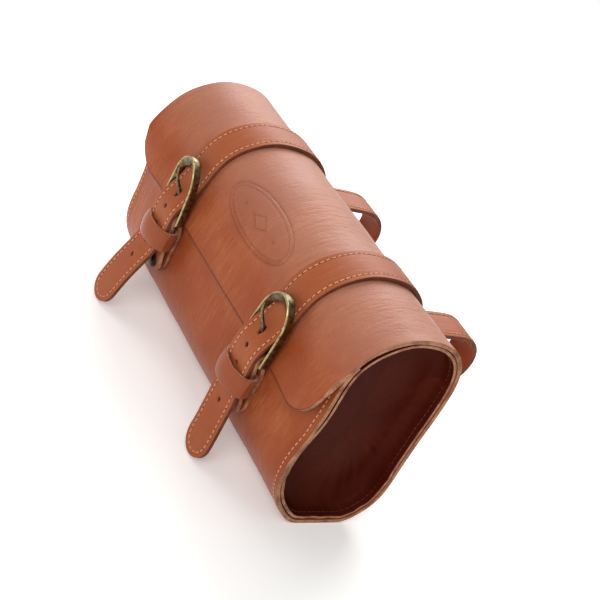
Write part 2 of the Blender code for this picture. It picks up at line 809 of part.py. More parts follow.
def main():
    clear_scene()
    scene = bpy.context.scene
    bag = bpy.data.collections.new("leather_roll_bag")
    cutters = bpy.data.collections.new("cutters")
    scene.collection.children.link(bag)
    scene.collection.children.link(cutters)
    materials = {name: make_material(name) for name in COLOURS}
    groups = (bag, cutters)
    make_wrap(bag, materials)
    make_end_panel("end_panel_left", -1, bag, materials)
    make_end_panel("end_panel_right", 1, bag, materials)
    line = wrap_rows()
    seat = BuckleSeat(line)
    for name, side, lean in (("left", -1, 1.0), ("right", 1, 0.9)):
        x = side * BELT_SPACING / 2 + BELT_SHIFT
        make_belt(f"belt_{name}", x, TAILS[name], seat, groups, materials)
        make_chape(f"buckle_strap_{name}", x, seat, groups, materials)
        make_buckle(f"buckle_{name}", x, seat, groups, materials)
        make_tongue(f"tongue_{name}", x, seat, bag, materials["antique_brass"])
        make_keeper(f"keeper_{name}", x, seat, lean, bag, materials["keeper_leather"])
        make_rivet(f"rivet_{name}", x, seat, bag, materials["black_rivet"])
        make_bar_loop(f"bar_loop_{name}", x, line, bag, materials["strap_leather"])
    stand_on_origin(groups)


main()
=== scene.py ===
"""Leather roll bag with a flap and buckled straps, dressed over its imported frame.

Metres, +Z up, front with the buckles towards -Y. Every sheet and strap is rolled
along the middle line of its own frame node, so it lies where the frame has it.
"""
import math

import bmesh
import bpy
from mathutils import Matrix, Vector, noise


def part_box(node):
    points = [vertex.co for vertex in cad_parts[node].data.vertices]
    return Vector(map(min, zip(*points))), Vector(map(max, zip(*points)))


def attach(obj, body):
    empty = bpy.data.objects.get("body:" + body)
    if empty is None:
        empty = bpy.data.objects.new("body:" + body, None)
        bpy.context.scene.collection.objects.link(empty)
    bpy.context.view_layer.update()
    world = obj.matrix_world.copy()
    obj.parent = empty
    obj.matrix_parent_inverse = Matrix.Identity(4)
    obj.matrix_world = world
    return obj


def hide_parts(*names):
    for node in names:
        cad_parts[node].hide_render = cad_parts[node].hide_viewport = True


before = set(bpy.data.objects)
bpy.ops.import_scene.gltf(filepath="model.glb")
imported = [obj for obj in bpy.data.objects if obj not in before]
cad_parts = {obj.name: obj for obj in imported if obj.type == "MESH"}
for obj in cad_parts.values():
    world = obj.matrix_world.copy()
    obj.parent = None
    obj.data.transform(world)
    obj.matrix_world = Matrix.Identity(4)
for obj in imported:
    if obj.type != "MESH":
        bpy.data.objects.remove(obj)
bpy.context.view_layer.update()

MM = 0.001
TURN = 2 * math.pi

# Walls of the leathers, which are the frame's apart from the thinner belts
BODY_WALL = 2.2 * MM
PANEL_WALL = 1.8 * MM
BELT_WALL = 2.1 * MM
CHAPE_WALL = 2.0 * MM
KEEPER_WALL = 1.6 * MM
LOOP_WALL = 2.4 * MM
BELT_WIDTH = 20 * MM

# The thinner belts lie this far in, on what is below them
BELT_SINK = 0.35 * MM

# The keepers have slid up the straps, and are drawn tight at the front
KEEPER_RAISED = {"left": 4.0 * MM, "right": 1.2 * MM}
KEEPER_TIGHTER = 2.3 * MM
KEEPER_CROWN = 0.95 * MM
KEEPER_SHRUNK = 0.30 * MM
KEEPER_BOW = 1.1 * MM

# Steps along a middle line, and of the sheet rolled on it, finer under the ornament
LINE_STEP = 0.7 * MM
SHEET_STEP = 2.1 * MM
FINE_STEP = 0.62 * MM

# The flap's corners, its free part, and how far its corners stand off
FLAP_CORNER = 20 * MM
FLAP_ROOM = 38 * MM
FLAP_LIFT = 2.2 * MM

# Unevenness of the body sheet: its size across and along, and its height
UNEVEN_SIZE = (26 * MM, 55 * MM)
UNEVEN_HEIGHT = 0.45 * MM
FOLD_SIZE = (7 * MM, 34 * MM)
FOLD_HEIGHT = 0.16 * MM
FOLDS_START = 40 * MM
FOLDS_GROW_OVER = 50 * MM

# Where the bag's ends have lost their shape: which end, which lap, height, how far
# it reaches up and down, how far along the bag, and how far out
SLUMPS = (
    (-1, "flap", 88 * MM, 30 * MM, 36 * MM, 4.0 * MM),
    (-1, "flap", 66 * MM, 18 * MM, 30 * MM, -0.6 * MM),
    (1, "flap", 74 * MM, 30 * MM, 40 * MM, 2.2 * MM),
    (-1, "front", 46 * MM, 40 * MM, 30 * MM, -3.6 * MM),
    (1, "front", 70 * MM, 30 * MM, 36 * MM, -3.7 * MM),
)

# End panels: how far in the rim lies, the bend between flange and flat, and the seam
PANEL_RIM_SET = 0.4 * MM
PANEL_BEND = 7.0 * MM
PANEL_STEP = 1.6 * MM
PANEL_SEAM_IN = 3.2 * MM
FLANGE_SHARES = (0, 0.33, 0.67, 1.0)
BEND_ANGLES = (12, 24, 36, 48, 60, 75, 90)
FLAT_SHARES = (0.04, 0.09, 0.16, 0.25, 0.36, 0.5, 0.65, 0.82, 1.0)
PUCKER_HEIGHT = 0.8 * MM
DISH_HEIGHT = 1.2 * MM

# Debossed ornament on the flap
ORNAMENT_X = 3 * MM
ORNAMENT_HEIGHT = 104 * MM
ORNAMENT_HALF_LENGTH = 31 * MM
ORNAMENT_HALF_WIDTH = 12.5 * MM
ORNAMENT_DEPTH = 0.85 * MM
ORNAMENT_LINE = 1.05 * MM
ORNAMENT_LINES_APART = 2.4 * MM
LOZENGE_HALF_LENGTH = 10 * MM
LOZENGE_HALF_WIDTH = 5.5 * MM
LOZENGE_SIDE_AWAY = 4.8 * MM
LOZENGE_BORDER = 1.7 * MM
DOT_RADIUS = 1.9 * MM
DOT_AWAY = 16 * MM

# Sewing
THREAD = 0.60 * MM
STITCH = 2.35 * MM
STITCH_PITCH = 3.1 * MM
AWL_HOLE = 0.24 * MM
AWL_HOLE_RISE = 0.10 * MM
SEAM_INSET = 2.5 * MM
END_SEAM_INSET = 3.0 * MM

# Straps are crowned, with a groove for the seam, and cut beside their holes
BELT_CROWN = 0.22 * MM
SEAM_GROOVE = 0.22 * MM
GROOVE_HALF_WIDTH = 0.9 * MM
BESIDE_HOLES = 4 * MM
ROUND_TIP = 0.8 * MM
TONGUE_ROOM = 13 * MM

# Belt holes, as in the frame; the used one is drawn out to a short slot
HOLE_DIAMETER = 2.8 * MM
HOLE_SPACING = 11.7 * MM
HOLE_COUNT = 5
USED_HOLE_UP = 13.3 * MM
SLOT_WIDTH = 2.8 * MM
SLOT_LENGTH = 5.4 * MM

# Buckles, as in the frame
FRAME_HEIGHT = 32 * MM
FRAME_TILT = math.radians(4)
FRAME_FOOT = 2.2 * MM
FRAME_WALL = 2.2 * MM
FRAME_BAND = 4.6 * MM
HEEL_BAR = 2.4 * MM
TONGUE = 2.0 * MM

# How the worn buckles differ from the frame: the arch turns with its right side out,
# its crown is wider than its legs and notched, one arch leans more than the other, and
# the tongue's tip lies left of the middle
FRAME_TWIST = math.radians(8)
CROWN_WIDTH = 5.4 * MM
ARCH_RISE = 1.12
NOTCH_DEPTH = 0.55 * MM
NOTCH_LEFT = 1.5 * MM
NOTCH_HALF_WIDTH = 2.2 * MM
FRAME_LEAN = {"left": Vector((-1.2, 0.0, 0.0)) * MM, "right": Vector((2.8, 0.6, 2.0)) * MM}
FRAME_NARROWER = {"left": 0.35 * MM, "right": 0.0}
LEG_WIDTH = 2.5 * MM
TONGUE_TIP_MOVE = Vector((-4.2, 0.6, -4.6)) * MM
TONGUE_HELD = 10 * MM

# Rivet caps, with their profile in shares of the radius and the height
RIVET_INSET = 8.5 * MM
RIVET_RADIUS = 6.25 * MM
RIVET_HEIGHT = 1.9 * MM
RIVET_PROFILE = ((1.0, -0.15), (1.0, 0.18), (0.97, 0.34), (0.86, 0.62), (0.66, 0.84), (0.40, 0.96),
                 (0.0, 1.0))

# Real sizes of the patterns in the materials
HIDE_PATCH = 38.46 * MM
CREASE_GAP = 2.381 * MM
SPECKLE = 0.6667 * MM
FIBRE = 0.7692 * MM
BLOT = 6.25 * MM
CAST_SPOT = 2.381 * MM
THREAD_TWIST = 0.5556 * MM
WORN_SPOT = 2.0 * MM
# Hair cells are finer than this, and are drawn as coarse so that they show
PEBBLE = 1.316 * MM

# The roof's paler tint by height, a painted sheen, and the dark band along the flap's edge, a painted shadow
# line
PAINTED_SHEEN_FROM = 86 * MM
PAINTED_SHEEN_TO = 120 * MM
PAINTED_SHEEN_SHARE = 0.36
FLAP_EDGE_SHADE = 1.2 * MM
FLAP_EDGE_SHADE_FADE = 0.3 * MM
FLAP_EDGE_SHADE_SHARE = 0.75

# The photo's view of the bag
EYE = Vector((409.9, -414.7, 355.6)) * MM
AIM = Vector((-1.7, 6.1, 57.1)) * MM
ROLL = math.radians(32.92)
LENS = 72.0


def ease(value):
    """From 0 to 1 and level at both ends."""
    value = min(1.0, max(0.0, value))
    return value * value * (3 - 2 * value)


def hump(value, middle, reach):
    """1 at the middle, level there, and 0 beyond its reach."""
    return ease(1 - abs(value - middle) / reach)


def lengths(line):
    """Distance of each point of a line from its start."""
    total = [0.0]
    for before, after in zip(line, line[1:]):
        total.append(total[-1] + (after - before).length)
    return total


def point_at(line, marks, distance):
    """Point of a line at a distance along it, held at its ends."""
    distance = min(max(distance, 0.0), marks[-1])
    low, high = 0, len(marks) - 1
    while high - low > 1:
        middle = (low + high) // 2
        if marks[middle] <= distance:
            low = middle
        else:
            high = middle
    span = marks[high] - marks[low]
    return line[low].lerp(line[high], (distance - marks[low]) / span if span else 0.0)


def point_and_out(line, marks, distance, reach):
    """Point of a line at a distance along it, and which way is out there."""
    run = (point_at(line, marks, distance + reach)
           - point_at(line, marks, distance - reach)).normalized()
    return point_at(line, marks, distance), Vector((run.y, -run.x))


def even_points(line, step):
    """The line as points about a step apart."""
    marks = lengths(line)
    count = max(2, round(marks[-1] / step))
    return [point_at(line, marks, marks[-1] * k / count) for k in range(count + 1)]


def mean_point(points):
    return sum(points, Vector((0.0, 0.0))) / len(points)


def smoothed(line, reach, closed=False):
    """The line with its corners rounded over a reach, its ends kept."""
    points = even_points(line, LINE_STEP)
    if closed:
        points = points[:-1]
    wide = max(1, round(reach / LINE_STEP))
    count = len(points)
    for _ in range(3):
        rounded = []
        for index in range(count):
            room = wide if closed else min(wide, index, count - 1 - index)
            near = [points[(index + k) % count] for k in range(-room, room + 1)]
            rounded.append(mean_point(near))
        points = rounded
    return points + [points[0].copy()] if closed else points


def cut_outlines(name, axis, place):
    """Closed outlines, longest first, where a plane square to an axis cuts a frame node."""
    kept = [k for k in range(3) if k != axis]
    point, normal = Vector((0, 0, 0)), Vector((0, 0, 0))
    point[axis] = place
    normal[axis] = 1
    cut = bmesh.new()
    cut.from_mesh(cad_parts[name].data)
    bmesh.ops.remove_doubles(cut, verts=cut.verts, dist=0.005 * MM)
    bmesh.ops.bisect_plane(cut, geom=cut.verts[:] + cut.edges[:] + cut.faces[:], plane_co=point,
                           plane_no=normal, clear_inner=True, clear_outer=True)
    bmesh.ops.remove_doubles(cut, verts=cut.verts, dist=0.02 * MM)
    outlines = []
    seen = set()
    for start in cut.verts:
        outline = []
        vert = start
        while vert is not None and vert not in seen:
            seen.add(vert)
            outline.append(Vector([vert.co[k] for k in kept]))
            onward = [edge.other_vert(vert) for edge in vert.link_edges]
            vert = next((other for other in onward if other not in seen), None)
        if len(outline) > 2:
            outlines.append(corners(outline))
    cut.free()
    return sorted(outlines, key=lambda outline: -lengths(outline + outline[:1])[-1])


def corners(outline):
    """The closed outline without the points along its straight stretches."""
    kept = []
    for index, point in enumerate(outline):
        before = (point - outline[index - 1]).normalized()
        after = (outline[(index + 1) % len(outline)] - point).normalized()
        if before.dot(after) < 0.99999:
            kept.append(point)
    return kept


def nearest_on(line, point):
    """Point of a line that is nearest to another point."""
    best = None
    for start, end in zip(line, line[1:]):
        run = end - start
        share = min(1.0, max(0.0, (point - start).dot(run) / max(run.length_squared, 1e-12)))
        place = start + run * share
        if best is None or (place - point).length_squared < (best - point).length_squared:
            best = place
    return best


def between(one, other):
    """Line half way between the two faces of a wall."""
    return [(point + nearest_on(other, point)) / 2 for point in even_points(one, LINE_STEP)]


def wall_ends(outline):
    """The first and last corner of each of a wall's two end faces."""
    count = len(outline)
    runs = [outline[(k + 1) % count] - outline[k] for k in range(count)]
    found = []
    for first in range(count):
        for span in range(1, 5):
            before = runs[first - 1]
            after = runs[(first + span) % count]
            wide = sum(runs[(first + k) % count].length for k in range(span))
            turn = before.normalized().dot(after.normalized())
            if wide < 4 * MM and turn < -0.4 and min(before.length, after.length) > MM:
                found.append((turn, first, (first + span) % count))
                break
    return [ends[1:] for ends in sorted(found)[:2]]


def wall_line(name, place, starts_near, reach):
    """Middle line of an open wall of a frame node, where a plane square to X cuts it."""
    outline = cut_outlines(name, 0, place)[0]
    (one_first, one_last), (other_first, other_last) = wall_ends(outline)

    def side(start, end):
        count = (end - start) % len(outline) + 1
        return [outline[(start + k) % len(outline)] for k in range(count)]

    line = between(side(one_last, other_first), side(other_last, one_first))
    goal = Vector(starts_near)
    if (line[0] - goal).length > (line[-1] - goal).length:
        line.reverse()
    return smoothed(line, reach)


def band_line(name, axis, place, reach):
    """Middle line of a closed band of a frame node."""
    outer, inner = cut_outlines(name, axis, place)[:2]
    return smoothed(between(outer + outer[:1], inner + inner[:1]), reach, closed=True)


def rolled(rows, columns, place, lie, flip=False):
    """Flat grid of leather rolled by a placing function, its lie in metres as its UV map."""
    sheet = bmesh.new()
    flat = sheet.loops.layers.uv.new("lie")
    bmesh.ops.create_grid(sheet, x_segments=columns - 1, y_segments=rows - 1, size=0.5)
    for vert in sheet.verts:
        column = round((vert.co.x + 0.5) * (columns - 1))
        row = round((vert.co.y + 0.5) * (rows - 1))
        for loop in vert.link_loops:
            loop[flat].uv = lie(row, column)
        vert.co = place(row, column)
    bmesh.ops.remove_doubles(sheet, verts=sheet.verts, dist=0.005 * MM)
    if flip:
        bmesh.ops.reverse_faces(sheet, faces=sheet.faces)
    return sheet


def make_piece(name, mesh, materials):
    """Object of a bmesh, which is used up, at the origin."""
    data = bpy.data.meshes.new(name)
    mesh.to_mesh(data)
    mesh.free()
    data.shade_smooth()
    piece = bpy.data.objects.new(name, data)
    bpy.context.scene.collection.objects.link(piece)
    for material in materials:
        data.materials.append(material)
    return piece


def give_wall(piece, wall, rounding):
    """Wall of leather on a rolled sheet: raw edge in the second material, rounded over."""
    solid = piece.modifiers.new("wall", "SOLIDIFY")
    solid.thickness = wall
    solid.offset = 0.0
    solid.use_even_offset = True
    solid.material_offset_rim = 1
    round_edges(piece, 50, rounding)


def make_band(name, slot, sheet, materials, wall, rounding, node):
    """Closed piece of leather from a rolled sheet."""
    bmesh.ops.recalc_face_normals(sheet, faces=sheet.faces)
    piece = make_piece(name, sheet, materials)
    give_wall(piece, wall, rounding)
    hand_over(piece, slot, node)


def round_edges(piece, angle, width):
    """Rounds a piece's edges that turn by more than an angle in degrees."""
    bevel = piece.modifiers.new("rounded edge", "BEVEL")
    bevel.limit_method = "ANGLE"
    bevel.angle_limit = math.radians(angle)
    bevel.width = width
    bevel.segments = 2
    bevel.material = -1


def hand_over(piece, slot, *nodes):
    """Attaches a piece to the root body and hides the frame nodes that it replaces; its slot is not used."""
    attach(piece, "root")
    if nodes:
        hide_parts(*nodes)


def graded(start, end, coarse, fine, zone):
    """Places from start to end, close together inside a zone."""
    places = [start]
    while places[-1] < end - 0.3 * fine:
        outside = max(zone[0] - places[-1], places[-1] - zone[1], 0.0)
        places.append(places[-1] + fine + (coarse - fine) * ease(outside / (6 * coarse)))
    places[-1] = end
    return places


# Body

# Middle line of the body sheet, from the front panel's hidden top edge to the flap's edge
BODY_LINE = wall_line("wrap", 1 * MM, (-50 * MM, 110 * MM), 2.4 * MM)
BODY_MARKS = lengths(BODY_LINE)
BODY_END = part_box("wrap")[1].x
FLAP_FOLD = BODY_MARKS[-1] - FLAP_ROOM


def mark_where(condition):
    """Last distance along the body's line at which a condition on its point holds."""
    return max(mark for point, mark in zip(BODY_LINE, BODY_MARKS) if condition(point))


FLAP_STARTS = mark_where(lambda point: point.y > 116 * MM)
ORNAMENT_MARK = mark_where(lambda point: point.y > ORNAMENT_HEIGHT)


def ornament(x, distance):
    """Depth of the ornament: an oval double line round a sunk lozenge and two dots."""
    px = x - ORNAMENT_X
    py = distance - ORNAMENT_MARK
    across = px / ORNAMENT_HALF_LENGTH
    along = py / ORNAMENT_HALF_WIDTH
    ring = math.hypot(across, along)
    if ring > 1.25:
        return 0.0
    steepness = math.hypot(across / ORNAMENT_HALF_LENGTH, along / ORNAMENT_HALF_WIDTH) / max(ring, 0.1)
    from_oval = (ring - 1.0) / max(steepness, 1.0)
    depth = max(line_depth(from_oval), 0.7 * line_depth(from_oval + ORNAMENT_LINES_APART))
    inside = (1 - abs(px) / LOZENGE_HALF_LENGTH - abs(py) / LOZENGE_HALF_WIDTH) * LOZENGE_SIDE_AWAY
    lozenge = ease(inside / ORNAMENT_LINE)
    lozenge *= 1 - 0.85 * ease((inside - LOZENGE_BORDER) / ORNAMENT_LINE)
    dot = ease((DOT_RADIUS - math.hypot(abs(px) - DOT_AWAY, py)) / ORNAMENT_LINE)
    return max(depth, lozenge, dot)


def line_depth(away):
    """Depth of a debossed line at a distance from its middle."""
    return ease(1 - abs(away) / ORNAMENT_LINE)


def slump(x, point, lap):
    """How far out the ends of the bag have moved, on one lap."""
    out = 0.0
    for end, which, height, tall, reach, amount in SLUMPS:
        if which == lap:
            near = ease(1 - (BODY_END - end * x) / reach)
            out += amount * near * hump(point.y, height, tall)
    return out


def body_relief(x, distance):
    """Soft unevenness of the sheet along its outer face."""
    place = Vector((x / UNEVEN_SIZE[0], distance / UNEVEN_SIZE[1], 0.3))
    fold = Vector((x / FOLD_SIZE[0], distance / FOLD_SIZE[1], 4.1))
    ends = ease((abs(x) - FOLDS_START) / FOLDS_GROW_OVER)
    return UNEVEN_HEIGHT * noise.noise(place) + FOLD_HEIGHT * noise.noise(fold) * (0.35 + ends)


def body_at(x, distance):
    """Middle of the body sheet by distance along it, which way is out, and its front's move."""
    point, out = point_and_out(BODY_LINE, BODY_MARKS, distance, MM)
    move = body_relief(x, distance)
    if distance < BODY_MARKS[-1] / 2 and point.x < 0.0:
        move += slump(x, point, "front")
    return point, out, move


def make_body(materials):
    """One sheet: front panel, bottom, back, roof and flap."""
    rows = graded(0.0, BODY_MARKS[-1], SHEET_STEP, FINE_STEP,
                  (ORNAMENT_MARK - 1.1 * ORNAMENT_HALF_WIDTH, ORNAMENT_MARK + 1.1 * ORNAMENT_HALF_WIDTH))
    columns = graded(-BODY_END, BODY_END, SHEET_STEP, FINE_STEP,
                     (ORNAMENT_X - 1.06 * ORNAMENT_HALF_LENGTH, ORNAMENT_X + 1.06 * ORNAMENT_HALF_LENGTH))
    spots = {}
    for row, distance in enumerate(rows):
        for column, x in enumerate(columns):
            beyond = max(0.0, abs(x) - (BODY_END - FLAP_CORNER))
            short = FLAP_CORNER - math.sqrt(max(0.0, FLAP_CORNER ** 2 - beyond ** 2))
            place = distance
            if distance > FLAP_FOLD:
                place = FLAP_FOLD + (distance - FLAP_FOLD) * (FLAP_ROOM - short) / FLAP_ROOM
            point, out, move = body_at(x, place)
            if place > FLAP_STARTS:
                move += slump(x, point, "flap")
                lift = FLAP_LIFT * ease((distance - FLAP_FOLD) / FLAP_ROOM)
                move += lift * ease((abs(x) - BODY_END + FLAP_ROOM) / FLAP_ROOM)
                move -= ORNAMENT_DEPTH * ornament(x, place)
            height = max(BODY_WALL / 2, point.y + out.y * move)
            spots[row, column] = (Vector((x, point.x + out.x * move, height)), (x, distance))
    sheet = rolled(len(rows), len(columns), lambda row, column: spots[row, column][0],
                   lambda row, column: spots[row, column][1], flip=True)
    body = make_piece("body_sheet", sheet, materials)
    give_wall(body, BODY_WALL, 0.45 * MM)
    hand_over(body, "body_leather", "wrap")


def make_end_panel(side, end, materials, threads):
    """Dished end: a flange along the wrap's inside, a soft bend, and the flat."""
    name = f"end_panel_{side}"
    low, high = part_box(name)
    rim = end * (BODY_END - PANEL_RIM_SET)
    floor = (low.x if end > 0 else high.x) + end * PANEL_WALL / 2
    ring = even_points(band_line(name, 0, (rim + floor) / 2, 2.4 * MM), PANEL_STEP)
    middle = mean_point(ring[:-1])
    depth = abs(rim - floor)
    reach = min((point - middle).length for point in ring)
    # Distance in from the flange, and depth from the rim
    profile = [(0.0, share * (depth - PANEL_BEND)) for share in FLANGE_SHARES]
    profile += [(PANEL_BEND * (1 - math.cos(turn)), depth - PANEL_BEND + PANEL_BEND * math.sin(turn))
                for turn in (math.radians(angle) for angle in BEND_ANGLES)]
    profile += [(PANEL_BEND + (reach - PANEL_BEND) * share, depth) for share in FLAT_SHARES]

    def place(row, column):
        point = ring[column]
        inward, deep = profile[row]
        share = inward / reach
        spot = point + (middle - point) * share
        angle = column / (len(ring) - 1) * TURN
        pucker = hump(inward, 5 * MM, 16 * MM) * ease((60 * MM - point.y) / (30 * MM))
        pucker *= noise.noise(Vector((math.cos(angle) * 9, math.sin(angle) * 9, end)))
        dish = noise.noise(Vector((spot.x * 26, spot.y * 26, end))) * ease(inward / (12 * MM))
        x = rim - end * (deep + PUCKER_HEIGHT * pucker - DISH_HEIGHT * dish)
        return Vector((x, spot.x + pushed(x, point) * (1 - share), spot.y))

    def pushed(x, point):
        """How far back the front lap has pushed the panel."""
        return -slump(x, point, "front") if point.x < middle.x else 0.0

    sheet = rolled(len(profile), len(ring), place,
                   lambda row, column: (column * PANEL_STEP, profile[row][0] + profile[row][1]))
    make_band(f"end_dish_{side}", "end_leather", sheet, materials, PANEL_WALL, 0.4 * MM, name)
    route = []
    x = rim - end * PANEL_SEAM_IN
    for point in ring:
        inward = (middle - point).normalized()
        spot = point + inward * (PANEL_WALL / 2 + 0.06 * MM)
        route.append((Vector((x, spot.x + pushed(x, point), spot.y)), Vector((0, inward.x, inward.y))))
    make_seam(f"flange_seam_{side}", "end_leather", [route], threads)


class Strap:
    """Strap of leather along a line in the bag's cross plane, its last end rounded, or both."""

    def __init__(self, line, wall, centre, side=1, both_round=False, sink=0.0):
        self.line = line
        self.marks = lengths(line)
        self.total = self.marks[-1]
        self.wall = wall
        self.centre = centre
        self.side = side
        self.both_round = both_round
        self.sink = sink
        self.half = BELT_WIDTH / 2

    def at(self, distance, across, lift=0.0):
        """Point at a distance along, a distance across, and a lift off the middle."""
        point, out = point_and_out(self.line, self.marks, distance, 0.5 * MM)
        place = point + out * self.side * (lift - self.sink)
        return Vector((self.centre(distance) + across, place.x, place.y))

    def room(self, distance):
        """Half the width that is left at a distance, by the round ends."""
        reach = min(self.half, self.total - distance)
        if self.both_round:
            reach = min(reach, distance)
        return math.sqrt(max(0.0, self.half ** 2 - (self.half - reach) ** 2))


def centre_along(name, line):
    """Middle across a frame strap, by distance along its line."""
    marks = lengths(line)
    spots = []
    verts = [vert.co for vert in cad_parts[name].data.vertices]
    for mark in range(0, int(marks[-1] / MM), 4):
        point = point_at(line, marks, mark * MM)
        near = [co.x for co in verts if math.hypot(co.y - point.x, co.z - point.y) < 4.2 * MM]
        if near:
            spots.append((mark * MM, (min(near) + max(near)) / 2))

    def centre(distance):
        total = weight = 0.0
        for mark, x in spots:
            share = max(0.0, 1 - abs(mark - distance) / (9 * MM))
            total += x * share
            weight += share
        return total / weight if weight else spots[-1][1]
    return centre


def belt_profile(across, half, stitched):
    """Height over the flat face: crowned, with a groove where the seam lies."""
    edge = half - abs(across)
    height = BELT_CROWN * (1 - (across / (BELT_WIDTH / 2)) ** 2)
    if stitched:
        height -= SEAM_GROOVE * ease(1 - abs(edge - SEAM_INSET) / GROOVE_HALF_WIDTH)
    return height


def make_strap(strap, columns, stitched):
    """Grid of a strap, close together at its round ends."""
    from_end = [strap.half * (1 - math.sin(TURN / 4 * k / 14)) for k in range(14)] + [0.02 * MM]
    first = strap.half if strap.both_round else 0.0
    run = strap.total - strap.half - first
    count = round(run / (1.5 * MM))
    rows = [first + run * k / count for k in range(count)]
    rows += [strap.total - away for away in from_end]
    if strap.both_round:
        rows = from_end[:0:-1] + rows
    shares = [math.sin(TURN / 4 * (k / (columns // 2) - 1)) * 0.35
              + (k / (columns // 2) - 1) * 0.65 for k in range(columns)]

    def place(row, column):
        room = strap.room(rows[row])
        across = shares[column] * room
        return strap.at(rows[row], across, belt_profile(across, room, stitched))

    return rolled(len(rows), columns, place,
                  lambda row, column: (shares[column] * strap.half, rows[row]), flip=strap.side > 0)


def punch_holes(piece, strap, side):
    """Round holes down the tail and the slot that the tongue goes through."""
    bar_height = heel_bar(f"buckle_{side}").z
    over_bar = max(mark for point, mark in zip(strap.line, strap.marks) if point.y > bar_height)
    tongue = tongue_line(f"tongue_{side}")

    def to_tongue(mark):
        point = point_at(strap.line, strap.marks, mark)
        return (point - nearest_on(tongue, point)).length

    crossing = min((mark for mark in strap.marks if 6 * MM < over_bar - mark < 20 * MM), key=to_tongue)
    holes = bmesh.new()
    for count in range(HOLE_COUNT):
        mark = over_bar - USED_HOLE_UP + count * HOLE_SPACING if count else crossing
        point = strap.at(mark, 0)
        along = (strap.at(mark + MM, 0) - point).normalized()
        across = (Vector((1, 0, 0)) - along * along.x).normalized()
        turn = Matrix((across, along, across.cross(along))).transposed().to_4x4()
        width, length = (HOLE_DIAMETER, HOLE_DIAMETER) if count else (SLOT_WIDTH, SLOT_LENGTH)
        size = Matrix.Diagonal((width, length, 1, 1))
        bmesh.ops.create_cone(holes, cap_ends=True, segments=20, radius1=0.5, radius2=0.5,
                              depth=4 * BELT_WALL, matrix=Matrix.Translation(point) @ turn @ size)
    cut_away(piece, holes)


def cut_away(piece, mesh):
    """Cuts a bmesh, which is used up, out of a piece, and applies the piece's modifiers."""
    tool = make_piece("punch", mesh, ())
    boolean = piece.modifiers.new("holes", "BOOLEAN")
    boolean.operation = "DIFFERENCE"
    boolean.solver = "EXACT"
    boolean.object = tool
    ready = piece.evaluated_get(bpy.context.evaluated_depsgraph_get())
    data = bpy.data.meshes.new_from_object(ready)
    piece.modifiers.clear()
    old = piece.data
    data.name = old.name
    piece.data = data
    bpy.data.meshes.remove(old)
    bpy.data.objects.remove(tool)


def heel_bar(buckle):
    """Middle of a buckle's heel bar, from the lowest front corner of its frame."""
    low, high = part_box(buckle)
    half = FRAME_BAND / 2
    foot = half * math.sin(FRAME_TILT) + FRAME_FOOT * math.cos(FRAME_TILT)
    reach = half * math.cos(FRAME_TILT) + (FRAME_HEIGHT + FRAME_WALL / 2) * math.sin(FRAME_TILT)
    return Vector(((low.x + high.x) / 2, low.y + reach, low.z + foot))


def sew(mesh, route):
    """Adds a row of stitches along a route of (point, outward) pairs, an awl hole after each."""
    points = [point for point, _ in route]
    marks = lengths(points)
    count = max(1, int(marks[-1] / STITCH_PITCH))
    spare = (marks[-1] - count * STITCH_PITCH) / 2
    for index in range(count):
        mark = spare + (index + 0.5) * STITCH_PITCH
        start = point_at(points, marks, mark - STITCH / 2)
        end = point_at(points, marks, mark + STITCH / 2)
        nearest = min(range(len(marks)), key=lambda k: abs(marks[k] - mark))
        along = (end - start).normalized()
        across = along.cross(route[nearest][1]).normalized()
        out = across.cross(along)
        turn = Matrix((across, out, along)).transposed().to_4x4()
        size = Matrix.Diagonal((THREAD / 2, THREAD * 0.45, STITCH / 2, 1))
        add_ball(mesh, Matrix.Translation((start + end) / 2) @ turn @ size, 0)
        # The awl hole is a small dark mark, partly painted shade of the hole
        gap = point_at(points, marks, mark + STITCH_PITCH / 2) - out * 0.04 * MM
        hole = Matrix.Diagonal((AWL_HOLE, AWL_HOLE_RISE, 1.5 * AWL_HOLE, 1))
        add_ball(mesh, Matrix.Translation(gap) @ turn @ hole, 1)


def make_seam(name, slot, routes, threads):
    """Piece of all the stitches along its routes."""
    mesh = bmesh.new()
    for route in routes:
        sew(mesh, route)
    hand_over(make_piece(name, mesh, threads), slot)


def unit_ball():
    """Corners and faces of a small ball, made once because a call for each stitch is slow."""
    ball = bmesh.new()
    bmesh.ops.create_uvsphere(ball, u_segments=8, v_segments=6, radius=1)
    points = [vert.co.copy() for vert in ball.verts]
    faces = [[vert.index for vert in face.verts] for face in ball.faces]
    ball.free()
    return points, faces


BALL_POINTS, BALL_FACES = unit_ball()


def add_ball(mesh, matrix, material_index):
    """Adds a copy of the small ball to a bmesh."""
    verts = [mesh.verts.new(matrix @ point) for point in BALL_POINTS]
    for corner_numbers in BALL_FACES:
        mesh.faces.new([verts[k] for k in corner_numbers]).material_index = material_index


def strap_seams(strap, name, threads):
    """Seam down both edges of a strap and round its free end."""
    reach = strap.half - SEAM_INSET
    flat = [(distance * MM, -reach) for distance in range(6, int((strap.total - strap.half) / MM), 2)]
    turn = [(strap.total - strap.half + reach * math.sin(angle), -reach * math.cos(angle))
            for angle in (TURN / 2 * k / 16 for k in range(17))]
    back = [(distance, -across) for distance, across in reversed(flat)]
    lift = strap.wall / 2 + 0.10 * MM
    route = []
    for distance, across in flat + turn + back:
        point = strap.at(distance, across, lift)
        route.append((point, (strap.at(distance, across, lift + MM) - point).normalized()))
    make_seam(name, "strap_leather", [route], threads)


